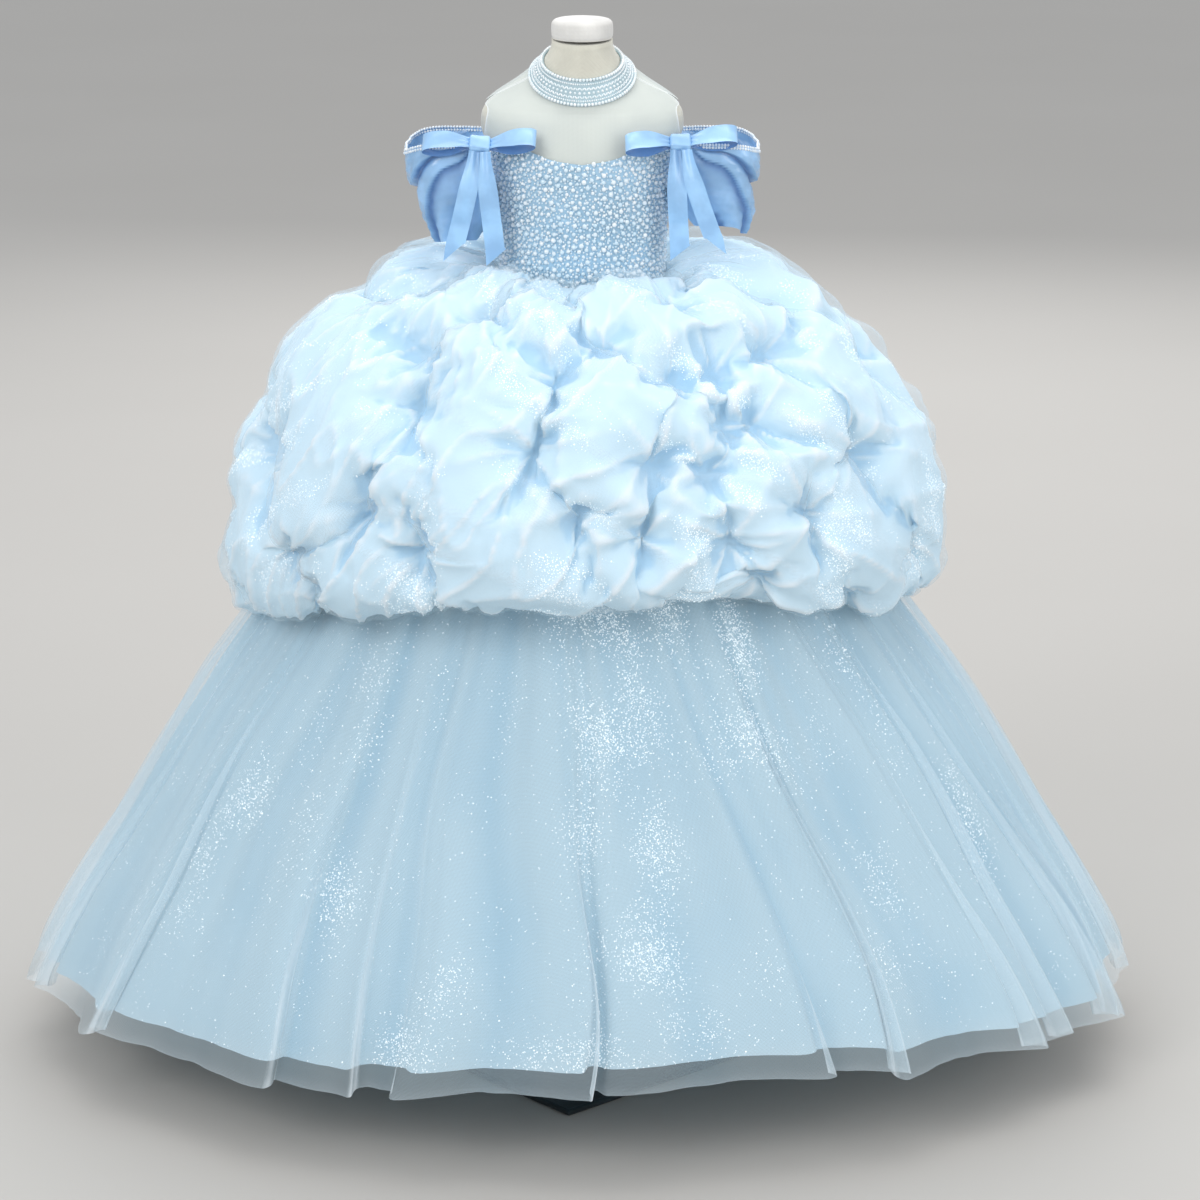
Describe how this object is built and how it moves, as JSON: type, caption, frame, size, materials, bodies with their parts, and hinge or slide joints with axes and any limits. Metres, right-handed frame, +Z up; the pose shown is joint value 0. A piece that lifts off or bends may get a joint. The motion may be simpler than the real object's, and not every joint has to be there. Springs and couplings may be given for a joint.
{
  "type": "princess dress on a limbless dress form",
  "caption": "Floor-length child's ball gown with pearl bodice, satin bows and puffed tulle overskirt, worn by a limbless dress form on a flat-based stand",
  "frame": {"origin": "on the floor, at the middle of the underside of the stand's base plate", "axes": "+Z up along the pole, the front of the dress faces -Y, +X is the right side of the front view"},
  "size_m": [1.3713, 1.0748, 1.261],
  "materials": {
    "form_cloth": "matte cream cotton cloth",
    "stand_paint": "semi-gloss blue-black paint",
    "beadwork": "pale blue cloth sewn with silver-white beads and crystals",
    "yoke_mesh": "sheer pale mesh",
    "bodice_cloth": "light blue cloth densely sewn with pearls",
    "satin": "soft periwinkle blue satin",
    "puff_tulle": "layered pale blue tulle with glitter",
    "skirt_tulle": "sheer light blue tulle with glitter",
    "lining_cloth": "opaque light blue lining"
  },
  "bodies": {
    "root": {"form_torso": "form_cloth", "form_neck_cap": "form_cloth", "stand_pole": "stand_paint", "stand_base": "stand_paint", "collar_band": "beadwork", "yoke_front": "yoke_mesh", "yoke_back": "yoke_mesh", "bodice_front": "bodice_cloth", "bodice_back": "bodice_cloth", "sleeve_left": "satin", "sleeve_right": "satin", "bow_left_knot": "satin", "bow_left_loop_inner": "satin", "bow_left_loop_outer": "satin", "bow_left_tail_1": "satin", "bow_left_tail_2": "satin", "bow_right_knot": "satin", "bow_right_loop_inner": "satin", "bow_right_loop_outer": "satin", "bow_right_tail_1": "satin", "bow_right_tail_2": "satin", "overskirt_front": "puff_tulle", "overskirt_right": "puff_tulle", "overskirt_back": "puff_tulle", "overskirt_left": "puff_tulle", "skirt_front": "skirt_tulle", "skirt_right": "skirt_tulle", "skirt_back": "skirt_tulle", "skirt_left": "skirt_tulle", "lining_front": "lining_cloth", "lining_right": "lining_cloth", "lining_back": "lining_cloth", "lining_left": "lining_cloth"}
  },
  "joints": []
}
